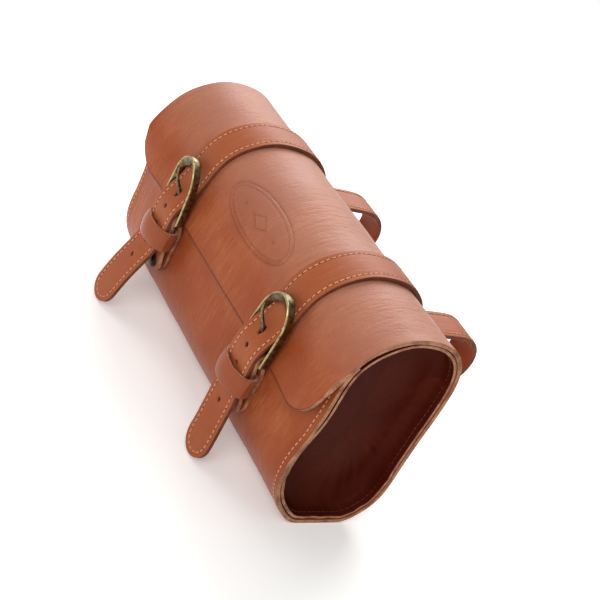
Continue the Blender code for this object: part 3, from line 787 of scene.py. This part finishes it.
def make_belt(side, materials, threads):
    """Belt from the back over the roof to its free round end, with its holes and seam."""
    name = f"belt_{side}"
    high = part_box(name)[1]
    sign = -1 if side == "left" else 1
    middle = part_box(f"keeper_{side}")
    x = (middle[0].x + middle[1].x) / 2 + sign * BESIDE_HOLES
    line = wall_line(name, x, (high.y, 57 * MM), 2.2 * MM)
    line.append(beyond(line[-3], line[-1]))
    strap = Strap(line, BELT_WALL, centre_along(name, line), sink=BELT_SINK)
    belt = make_piece(f"strap_{side}", make_strap(strap, 19, True), materials)
    give_wall(belt, BELT_WALL, 0.6 * MM)
    punch_holes(belt, strap, side)
    hand_over(belt, "strap_leather", name)
    strap_seams(strap, f"strap_seam_{side}", threads)


def beyond(before, last):
    """Tip of a round end, past where the plane beside the middle cuts it."""
    return last + (last - before).normalized() * ROUND_TIP


def make_chape(side, materials):
    """Short doubled strap that holds the buckle: up the front, round the bar, down again."""
    name = f"buckle_strap_{side}"
    low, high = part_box(name)
    centre = (low.x + high.x) / 2
    line = wall_line(name, centre + BESIDE_HOLES, (high.y, low.z), 0.9 * MM)
    line = [beyond(line[2], line[0])] + line + [beyond(line[-3], line[-1])]
    strap = Strap(line, CHAPE_WALL, lambda distance: centre, side=-1, both_round=True)
    chape = make_piece(f"buckle_carrier_{side}", make_strap(strap, 11, False), materials)
    give_wall(chape, CHAPE_WALL, 0.45 * MM)
    # Slot in the fold, for the tongue's eye
    room = bmesh.new()
    size = Matrix.Diagonal((SLOT_WIDTH, TONGUE_ROOM, TONGUE_ROOM, 1))
    bmesh.ops.create_cube(room, size=1, matrix=Matrix.Translation(heel_bar(f"buckle_{side}")) @ size)
    cut_away(chape, room)
    hand_over(chape, "strap_leather", name)
    return strap


def make_buckle(side, materials):
    """Cast frame: an arch with a bright front ridge and a slope inside it, and its heel bar."""
    name = f"buckle_{side}"
    low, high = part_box(name)
    bar = heel_bar(name)
    outer = (high.x - low.x) / 2 - FRAME_NARROWER[side]
    half = outer - FRAME_WALL / 2
    rise = half * ARCH_RISE + FRAME_WALL / 2
    straight = FRAME_HEIGHT + FRAME_WALL / 2 - rise
    path = [(Vector((outer, -FRAME_FOOT + (straight + FRAME_FOOT) * k / 10)), Vector((-1, 0)), 0.0)
            for k in range(10)]
    for turn in (TURN / 2 * k / 40 for k in range(41)):
        inward = -Vector((math.cos(turn) / outer, math.sin(turn) / rise)).normalized()
        path.append((Vector((outer * math.cos(turn), straight + rise * math.sin(turn))), inward,
                     math.sin(turn)))
    path += [(Vector((-point.x, point.y)), Vector((1, 0)), 0.0) for point, _, _ in reversed(path[:10])]
    bend = Matrix.Rotation(FRAME_TILT, 4, "X")
    back = FRAME_BAND / 2

    def place(row, column):
        point, inward, up = path[row]
        width = LEG_WIDTH + (CROWN_WIDTH - LEG_WIDTH) * ease(up * 1.15)
        notch = 0.0
        if up > 0.5:
            notch = NOTCH_DEPTH * ease(1 - abs(point.x + NOTCH_LEFT) / NOTCH_HALF_WIDTH)
        # Distance in from the outer edge, and depth, once round the section
        outline = ((0.0, back), (0.0, 0.8 * MM - back), (0.40 * MM, notch - back),
                   (0.80 * MM, notch - back), (1.05 * MM, 0.45 * MM - back),
                   (width - 0.2 * MM, 0.15 * back), (width, 0.5 * back), (width, back))
        reach, depth = outline[column % len(outline)]
        flat = point + inward * reach
        local = bend @ Vector((flat.x, depth, flat.y))
        local.y -= flat.x * math.sin(FRAME_TWIST) * (0.3 + 0.7 * ease(flat.y / FRAME_HEIGHT))
        return bar + local + FRAME_LEAN[side] * max(0.0, flat.y / FRAME_HEIGHT)

    cast = rolled(len(path), 9, place, lambda row, column: (column, row))
    flat = cast.loops.layers.uv["lie"]
    for face in cast.faces:
        column = sum(loop[flat].uv.x for loop in face.loops) / 4
        face.material_index = 1 if 1 < column < 4 else 0
    bmesh.ops.holes_fill(cast, edges=[edge for edge in cast.edges if edge.is_boundary])
    bmesh.ops.recalc_face_normals(cast, faces=cast.faces)
    buckle = make_piece(f"brass_frame_{side}", cast, materials)
    round_edges(buckle, 28, 0.22 * MM)
    hand_over(buckle, "brass", name)
    rod = bmesh.new()
    bmesh.ops.create_cone(rod, cap_ends=True, segments=24, radius1=HEEL_BAR / 2, radius2=HEEL_BAR / 2,
                          depth=2 * half, matrix=Matrix.Translation(bar) @ Matrix.Rotation(TURN / 4, 4, "Y"))
    heel = make_piece(f"heel_bar_{side}", rod, materials[:1])
    heel.data.set_sharp_from_angle(angle=math.radians(40))
    hand_over(heel, "brass")


def tongue_line(name):
    """Middle line of a tongue, in its own cross plane, with the tip at its end."""
    low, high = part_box(name)
    line = wall_line(name, (low.x + high.x) / 2, (high.y, low.z), 1.4 * MM)
    return line if line[0].y < line[-1].y else line[::-1]


def make_tongue(side, material):
    """Wire bent round the heel bar, tapered to a tip that rests on the arch."""
    name = f"tongue_{side}"
    low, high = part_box(name)
    x = (low.x + high.x) / 2
    held_to = heel_bar(f"buckle_{side}").z + TONGUE_HELD
    line = tongue_line(name)
    curve = bpy.data.curves.new(name, "CURVE")
    curve.dimensions = "3D"
    curve.bevel_depth = TONGUE / 2
    curve.bevel_resolution = 4
    curve.use_fill_caps = True
    points = even_points(line, 1.0 * MM)
    spline = curve.splines.new("POLY")
    spline.points.add(len(points) - 1)
    for index, (target, point) in enumerate(zip(spline.points, points)):
        share = index / (len(points) - 1)
        freed = ease((point.y - held_to) / (high.z - held_to))
        spot = Vector((x, point.x, point.y)) + TONGUE_TIP_MOVE * freed
        target.co = (*spot, 1.0)
        target.radius = 1.06 - 0.36 * ease((share - 0.55) / 0.45)
    spline.points[-1].radius = 0.35
    shape = bpy.data.objects.new(name, curve)
    bpy.context.scene.collection.objects.link(shape)
    ready = shape.evaluated_get(bpy.context.evaluated_depsgraph_get())
    wire = bmesh.new()
    wire.from_mesh(bpy.data.meshes.new_from_object(ready))
    bpy.data.objects.remove(shape)
    bmesh.ops.remove_doubles(wire, verts=wire.verts, dist=0.01 * MM)
    bmesh.ops.recalc_face_normals(wire, faces=wire.faces)
    hand_over(make_piece(f"brass_tongue_{side}", wire, (material,)), "brass", name)


def make_keeper(side, materials):
    """Bulging band of smooth leather round both layers of the strap."""
    name = f"keeper_{side}"
    low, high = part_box(name)
    height = (low.z + high.z) / 2
    step = 0.9 * MM
    ring = even_points(band_line(name, 2, height + 0.4 * MM, 1.5 * MM), step)
    middle = mean_point(ring[:-1])
    columns = 13

    def place(row, column):
        point = ring[row]
        share = 2 * column / (columns - 1) - 1
        front = ease((middle.y - point.y) / (0.25 * (high.y - low.y)) + 0.2)
        out = (point - middle).normalized()
        crown = KEEPER_CROWN * (1 - share ** 2) * front - KEEPER_SHRUNK
        bow = KEEPER_BOW * front * (1 - ((point.x - middle.x) / ((high.x - low.x) / 2)) ** 2)
        place_z = height + share * (high.z - low.z) / 2 - bow + KEEPER_RAISED[side]
        spot = point + out * crown
        return Vector((spot.x, spot.y + KEEPER_TIGHTER * front, place_z))

    sheet = rolled(len(ring), columns, place, lambda row, column: (row * step, column * MM))
    make_band(f"strap_keeper_{side}", "keeper_leather", sheet, materials, KEEPER_WALL, 0.35 * MM, name)


def make_rivet(side, strap, material):
    """Turned cap near the end of the buckle's strap."""
    name = f"rivet_{side}"
    mark = strap.total - RIVET_INSET
    base = strap.at(mark, 0, -strap.wall / 2 - 0.2 * MM)
    out = (strap.at(mark, 0, -2 * strap.wall) - base).normalized()
    turned = bmesh.new()
    verts = [turned.verts.new((share * RIVET_RADIUS, 0, rise * RIVET_HEIGHT))
             for share, rise in RIVET_PROFILE]
    edges = [turned.edges.new(pair) for pair in zip(verts, verts[1:])]
    bmesh.ops.spin(turned, geom=verts + edges, cent=(0, 0, 0), axis=(0, 0, 1), angle=TURN, steps=40,
                   use_merge=True, use_duplicate=False)
    bmesh.ops.remove_doubles(turned, verts=turned.verts, dist=0.01 * MM)
    bmesh.ops.recalc_face_normals(turned, faces=turned.faces)
    turn = Matrix.Translation(base) @ out.to_track_quat("Z", "X").to_matrix().to_4x4()
    bmesh.ops.transform(turned, matrix=turn, verts=turned.verts)
    hand_over(make_piece(f"rivet_cap_{side}", turned, (material,)), "dark_metal", name)


def make_bar_loop(side, materials, threads):
    """Closed hanging loop sewn on the back."""
    name = f"bar_loop_{side}"
    low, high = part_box(name)
    middle = (low.x + high.x) / 2
    step = 1.4 * MM
    ring = even_points(band_line(name, 0, middle + 2 * MM, 2.2 * MM), step)
    heart = mean_point(ring[:-1])
    half = (high.x - low.x) / 2
    columns = 15

    def outward(row):
        run = ring[(row + 1) % (len(ring) - 1)] - ring[(row - 1) % (len(ring) - 1)]
        out = Vector((run.y, -run.x)).normalized()
        return out if out.dot(ring[row] - heart) > 0 else -out

    def place(row, column):
        across = (2 * column / (columns - 1) - 1) * half
        out = outward(row) * (belt_profile(across, half, True) - 0.1 * MM)
        return Vector((middle + across, ring[row].x + out.x, ring[row].y + out.y))

    sheet = rolled(len(ring), columns, place, lambda row, column: (column * MM, row * step))
    make_band(f"hanging_loop_{side}", "strap_leather", sheet, materials, LOOP_WALL, 0.5 * MM, name)
    routes = ([], [])
    for edge, route in zip((-1, 1), routes):
        for row in range(len(ring)):
            out = outward(row % (len(ring) - 1))
            spot = ring[row] + out * (LOOP_WALL / 2 + 0.05 * MM)
            route.append((Vector((middle + edge * (half - SEAM_INSET), spot.x, spot.y)),
                          Vector((0, out.x, out.y))))
    make_seam(f"hanging_loop_seam_{side}", "strap_leather", routes, threads)


def end_seams(threads):
    """Seams that hold the end panels, seen on the body's outer face near both ends."""
    last = mark_where(lambda point: point.x > 0.0 and point.y < 105 * MM)
    for side, end in (("left", -1), ("right", 1)):
        route = []
        distance = 3 * MM
        x = end * (BODY_END - END_SEAM_INSET)
        while distance < last:
            point, out, move = body_at(x, distance)
            spot = point + out * (move + BODY_WALL / 2 + 0.08 * MM)
            route.append((Vector((x, spot.x, spot.y)), Vector((0, out.x, out.y))))
            distance += 2 * MM
        make_seam(f"end_seam_{side}", "body_leather", [route], threads)


# Materials


def linear(code):
    """Linear colour of an sRGB hex value."""
    values = [int(code[k:k + 2], 16) / 255 for k in (1, 3, 5)]
    return (*(v / 12.92 if v <= 0.04045 else ((v + 0.055) / 1.055) ** 2.4 for v in values), 1.0)


def add_node(tree, kind, inputs, output=0, **settings):
    """Adds a shader node with its settings and links, and returns one of its outputs.

    Sockets go by name or number. A MapRange takes a value, its range and the new range.
    """
    made = tree.nodes.new(f"ShaderNode{kind}")
    for name, value in settings.items():
        setattr(made, name, value)
    for socket, value in inputs.items():
        if isinstance(value, bpy.types.NodeSocket):
            tree.links.new(value, made.inputs[socket])
        else:
            made.inputs[socket].default_value = value
    return made.outputs[output]


def start_material(name, roughness, **sockets):
    """New material, with values on its shader's own sockets."""
    material = bpy.data.materials.new(name)
    material.use_nodes = True
    shader = material.node_tree.nodes["Principled BSDF"]
    shader.inputs["Roughness"].default_value = roughness
    for socket, value in sockets.items():
        shader.inputs[socket.replace("_", " ")].default_value = value
    return material, shader


def feed(shader, **outputs):
    """Links outputs of nodes to a shader's sockets."""
    for socket, output in outputs.items():
        shader.id_data.links.new(output, shader.inputs[socket.replace("_", " ")])


def every(size):
    """Scale of a pattern whose marks are a real size apart."""
    return 1 / size


def pull_up_leather(name, dark, middle, light, crease_strength=1.0, crease_amount=0.5, roughness=0.50,
                    shine=0.15, sheen=0.12, body=False):
    """Waxed full-grain cowhide: it pales where it is bent, and its creases run round the roll.

    The body's roof has a paler tint by height, a painted sheen, and its flap has a dark band along its edge,
    a painted shadow line.
    """
    material, shader = start_material(name, roughness, Specular_IOR_Level=shine,
                                      Sheen_Weight=sheen, Sheen_Roughness=0.35)
    tree = material.node_tree
    flat = add_node(tree, "UVMap", {}, uv_map="lie")
    around = add_node(tree, "Mapping", {"Vector": flat, "Scale": (1.0, 0.16, 1.0)})
    solid = add_node(tree, "TexCoord", {}, "Object")
    patches = add_node(tree, "TexNoise", {"Vector": flat, "Scale": every(HIDE_PATCH), "Detail": 3.0,
                                          "Roughness": 0.55})
    creases = add_node(tree, "TexNoise", {"Vector": around, "Scale": every(CREASE_GAP), "Detail": 3.0,
                                          "Roughness": 0.6, "Distortion": 0.35})
    pebbles = add_node(tree, "TexVoronoi", {"Vector": flat, "Scale": every(PEBBLE)}, "Distance")
    fine = add_node(tree, "TexNoise", {"Vector": solid, "Scale": every(SPECKLE), "Detail": 2.0})
    where = add_node(tree, "MapRange", {0: patches, 1: 0.40, 2: 0.64})
    ridge = add_node(tree, "MapRange", {0: creases, 1: 0.35, 2: 0.68})
    worn = add_node(tree, "Math", {0: ridge, 1: where}, operation="MULTIPLY")
    blend = add_node(tree, "MapRange", {0: patches, 1: 0.30, 2: 0.72})
    ground = add_node(tree, "Mix", {0: blend, 6: linear(dark), 7: linear(middle)}, 2, data_type="RGBA")
    faded = add_node(tree, "Math", {0: worn, 1: crease_amount}, operation="MULTIPLY")
    colour = add_node(tree, "Mix", {0: faded, 6: ground, 7: linear(light)}, 2, data_type="RGBA")
    if body:
        # Painted sheen: the hide is tinted paler towards the top of the roof, by height
        height = add_node(tree, "SeparateXYZ", {"Vector": solid}, "Z")
        painted_sheen = add_node(tree, "MapRange", {0: height, 1: PAINTED_SHEEN_FROM, 2: PAINTED_SHEEN_TO,
                                              4: PAINTED_SHEEN_SHARE})
        colour = add_node(tree, "Mix", {0: painted_sheen, 6: colour, 7: linear("#c49a88")}, 2,
                          data_type="RGBA")
        # Painted shadow line: a dark band on the flap's outer face along its edge
        place = add_node(tree, "SeparateXYZ", {"Vector": flat}, "Y")
        shade_starts = BODY_MARKS[-1] - FLAP_EDGE_SHADE
        edge_shade = add_node(tree, "MapRange", {0: place, 1: shade_starts, 2: shade_starts + FLAP_EDGE_SHADE_FADE,
                                           4: FLAP_EDGE_SHADE_SHARE})
        colour = add_node(tree, "Mix", {0: edge_shade, 6: colour, 7: linear("#5a2410")}, 2,
                          data_type="RGBA")
    speckle = add_node(tree, "MapRange", {0: fine, 1: 0.3, 2: 0.7, 3: 0.94, 4: 1.05})
    colour = add_node(tree, "VectorMath", {0: colour, "Scale": speckle}, operation="SCALE")
    rough = add_node(tree, "MapRange", {0: worn, 3: roughness - 0.04, 4: roughness + 0.10})
    folds = add_node(tree, "MapRange", {0: patches, 1: 0.38, 2: 0.62, 3: 0.25})
    folded = add_node(tree, "Math", {0: creases, 1: folds}, operation="MULTIPLY")
    low = add_node(tree, "Bump", {"Height": folded, "Distance": 0.80 * MM * crease_strength,
                                  "Strength": 1.0})
    grain = add_node(tree, "Bump", {"Height": pebbles, "Distance": 0.09 * MM * crease_strength,
                                    "Strength": 0.9, "Normal": low})
    feed(shader, Base_Color=colour, Roughness=rough, Normal=grain)
    return material


def raw_edge(name, dark, light):
    """Cut edge of hide: pale matted fibres, unfinished."""
    material, shader = start_material(name, 0.85)
    tree = material.node_tree
    solid = add_node(tree, "TexCoord", {}, "Object")
    fibres = add_node(tree, "TexNoise", {"Vector": solid, "Scale": every(FIBRE), "Detail": 4.0,
                                         "Roughness": 0.7})
    blots = add_node(tree, "TexNoise", {"Vector": solid, "Scale": every(BLOT), "Detail": 2.0})
    both = add_node(tree, "Math", {0: fibres, 1: blots}, operation="ADD")
    blend = add_node(tree, "MapRange", {0: both, 1: 0.8, 2: 1.2})
    colour = add_node(tree, "Mix", {0: blend, 6: linear(dark), 7: linear(light)}, 2, data_type="RGBA")
    matted = add_node(tree, "Bump", {"Height": fibres, "Distance": 0.25 * MM, "Strength": 1.0})
    feed(shader, Base_Color=colour, Normal=matted)
    return material


def aged_brass(name, dark, bright, share, roughness):
    """Cast brass with a brown lacquer that has rubbed through to the metal."""
    material, shader = start_material(name, roughness, Metallic=1.0)
    tree = material.node_tree
    solid = add_node(tree, "TexCoord", {}, "Object")
    rubbed = add_node(tree, "TexNoise", {"Vector": solid, "Scale": every(CAST_SPOT), "Detail": 4.0,
                                         "Roughness": 0.65})
    blend = add_node(tree, "MapRange", {0: rubbed, 1: 0.62 - share * 0.5, 2: 0.80 - share * 0.5})
    colour = add_node(tree, "Mix", {0: blend, 6: linear(dark), 7: linear(bright)}, 2, data_type="RGBA")
    dull = add_node(tree, "MapRange", {0: rubbed, 1: 0.3, 2: 0.7, 3: roughness + 0.10,
                                       4: roughness - 0.05})
    cast = add_node(tree, "Bump", {"Height": rubbed, "Distance": 0.06 * MM, "Strength": 1.0})
    feed(shader, Base_Color=colour, Roughness=dull, Normal=cast)
    return material


def waxed_thread(name, code):
    """Twisted waxed linen thread: dull, in two shades where it twists."""
    material, shader = start_material(name, 0.6)
    tree = material.node_tree
    solid = add_node(tree, "TexCoord", {}, "Object")
    twist = add_node(tree, "TexNoise", {"Vector": solid, "Scale": every(THREAD_TWIST)})
    shade = (*(0.62 * v for v in linear(code)[:3]), 1.0)
    blend = add_node(tree, "MapRange", {0: twist, 1: 0.35, 2: 0.6})
    colour = add_node(tree, "Mix", {0: blend, 6: shade, 7: linear(code)}, 2, data_type="RGBA")
    feed(shader, Base_Color=colour)
    return material


def blackened_steel(name):
    """Turned steel with a black oxide finish: dark and half shiny, with worn spots."""
    material, shader = start_material(name, 0.32, Metallic=0.9)
    tree = material.node_tree
    solid = add_node(tree, "TexCoord", {}, "Object")
    worn = add_node(tree, "TexNoise", {"Vector": solid, "Scale": every(WORN_SPOT), "Detail": 3.0})
    blend = add_node(tree, "MapRange", {0: worn, 1: 0.45, 2: 0.75})
    colour = add_node(tree, "Mix", {0: blend, 6: linear("#1d1b1b"), 7: linear("#4a4541")}, 2,
                      data_type="RGBA")
    feed(shader, Base_Color=colour)
    return material


def make_stage():
    """Pale floor, soft lights and the camera at the photo's angle."""
    ground = bmesh.new()
    bmesh.ops.create_grid(ground, x_segments=1, y_segments=1, size=60)
    material, _ = start_material("pale floor", 0.9, Base_Color=linear("#f4f3f1"),
                                 Emission_Color=linear("#ffffff"), Emission_Strength=0.25)
    floor = make_piece("floor", ground, (material,))
    world = bpy.data.worlds.new("soft white room")
    world.use_nodes = True
    sky = world.node_tree.nodes["Background"]
    sky.inputs["Color"].default_value = linear("#f7f5f2")
    sky.inputs["Strength"].default_value = 0.38
    scene = bpy.context.scene
    scene.world = world
    # Place in metres, size and power of each lamp
    lights = (
        ("window behind", (-1.10, 0.80, 1.15), 1.4, 33.0),
        ("front left", (-1.05, -0.75, 0.75), 0.9, 2.0),
        ("front right", (0.55, -1.00, 0.85), 0.8, 8.0),
        ("above", (-0.25, -0.10, 1.40), 0.8, 4.0),
    )
    for name, place, size, power in lights:
        lamp = bpy.data.lights.new(name, "AREA")
        lamp.shape = "DISK"
        lamp.size = size
        lamp.energy = power
        holder = bpy.data.objects.new(name, lamp)
        holder.location = place
        holder.rotation_euler = (AIM - Vector(place)).to_track_quat("-Z", "Y").to_euler()
        scene.collection.objects.link(holder)
    lens = bpy.data.cameras.new("camera")
    lens.lens = LENS
    lens.clip_start = 0.01
    camera = bpy.data.objects.new("camera", lens)
    turn = (AIM - EYE).to_track_quat("-Z", "Y").to_matrix().to_4x4() @ Matrix.Rotation(ROLL, 4, "Z")
    camera.matrix_world = Matrix.Translation(EYE) @ turn
    scene.collection.objects.link(camera)
    scene.camera = camera
    scene.view_settings.view_transform = "Standard"


def main():
    tan = pull_up_leather("waxed tan hide", "#8c3f1c", "#984822", "#ae6841", body=True)
    # The end panels' hide is the tan hide darkened to near black: painted shade of the recessed ends
    ends = pull_up_leather("end hide darkened as painted shade", "#421208", "#4c180c", "#612a1a", crease_strength=0.25,
                           crease_amount=0.3, roughness=0.46, shine=0.03, sheen=0.0)
    strap = pull_up_leather("waxed strap hide", "#954a28", "#9c5330", "#b0704c", crease_strength=0.5,
                            crease_amount=0.25)
    smooth = pull_up_leather("smooth keeper hide", "#8c4628", "#985032", "#ae7050", crease_strength=0.3,
                             crease_amount=0.2, roughness=0.36)
    cut = raw_edge("raw edge", "#7a4630", "#b98662")
    pale_cut = raw_edge("raw keeper edge", "#a0664a", "#cf9d7b")
    burnished = raw_edge("burnished edge", "#5f2f1c", "#7c4428")
    antique = aged_brass("antique brass", "#4c4232", "#7d7053", 0.45, 0.30)
    rubbed = aged_brass("rubbed brass", "#75663f", "#b8a878", 0.6, 0.34)
    tan_thread = waxed_thread("tan thread", "#e3aa80")
    # Thread of the seam inside the recessed ends: a darker copy of the tan thread, painted shade
    recess_shaded_thread = waxed_thread("thread darkened as painted shade", "#5a2418")
    # Leather inside an awl's hole: bare fibre, matt, and dark partly as painted shade of the hole
    awl_hole_fibre_and_shade, _ = start_material("pierced leather", 0.9, Base_Color=linear("#3a1a10"))
    black = blackened_steel("black oxide")
    make_stage()
    make_body((tan, cut))
    for side, end in (("left", -1), ("right", 1)):
        make_end_panel(side, end, (ends, cut), (recess_shaded_thread, awl_hole_fibre_and_shade))
    end_seams((tan_thread, awl_hole_fibre_and_shade))
    for side in ("left", "right"):
        make_belt(side, (strap, burnished), (tan_thread, awl_hole_fibre_and_shade))
        carrier = make_chape(side, (strap, cut))
        make_buckle(side, (antique, rubbed))
        make_tongue(side, antique)
        make_keeper(side, (smooth, pale_cut))
        make_rivet(side, carrier, black)
        make_bar_loop(side, (strap, burnished), (tan_thread, awl_hole_fibre_and_shade))


main()
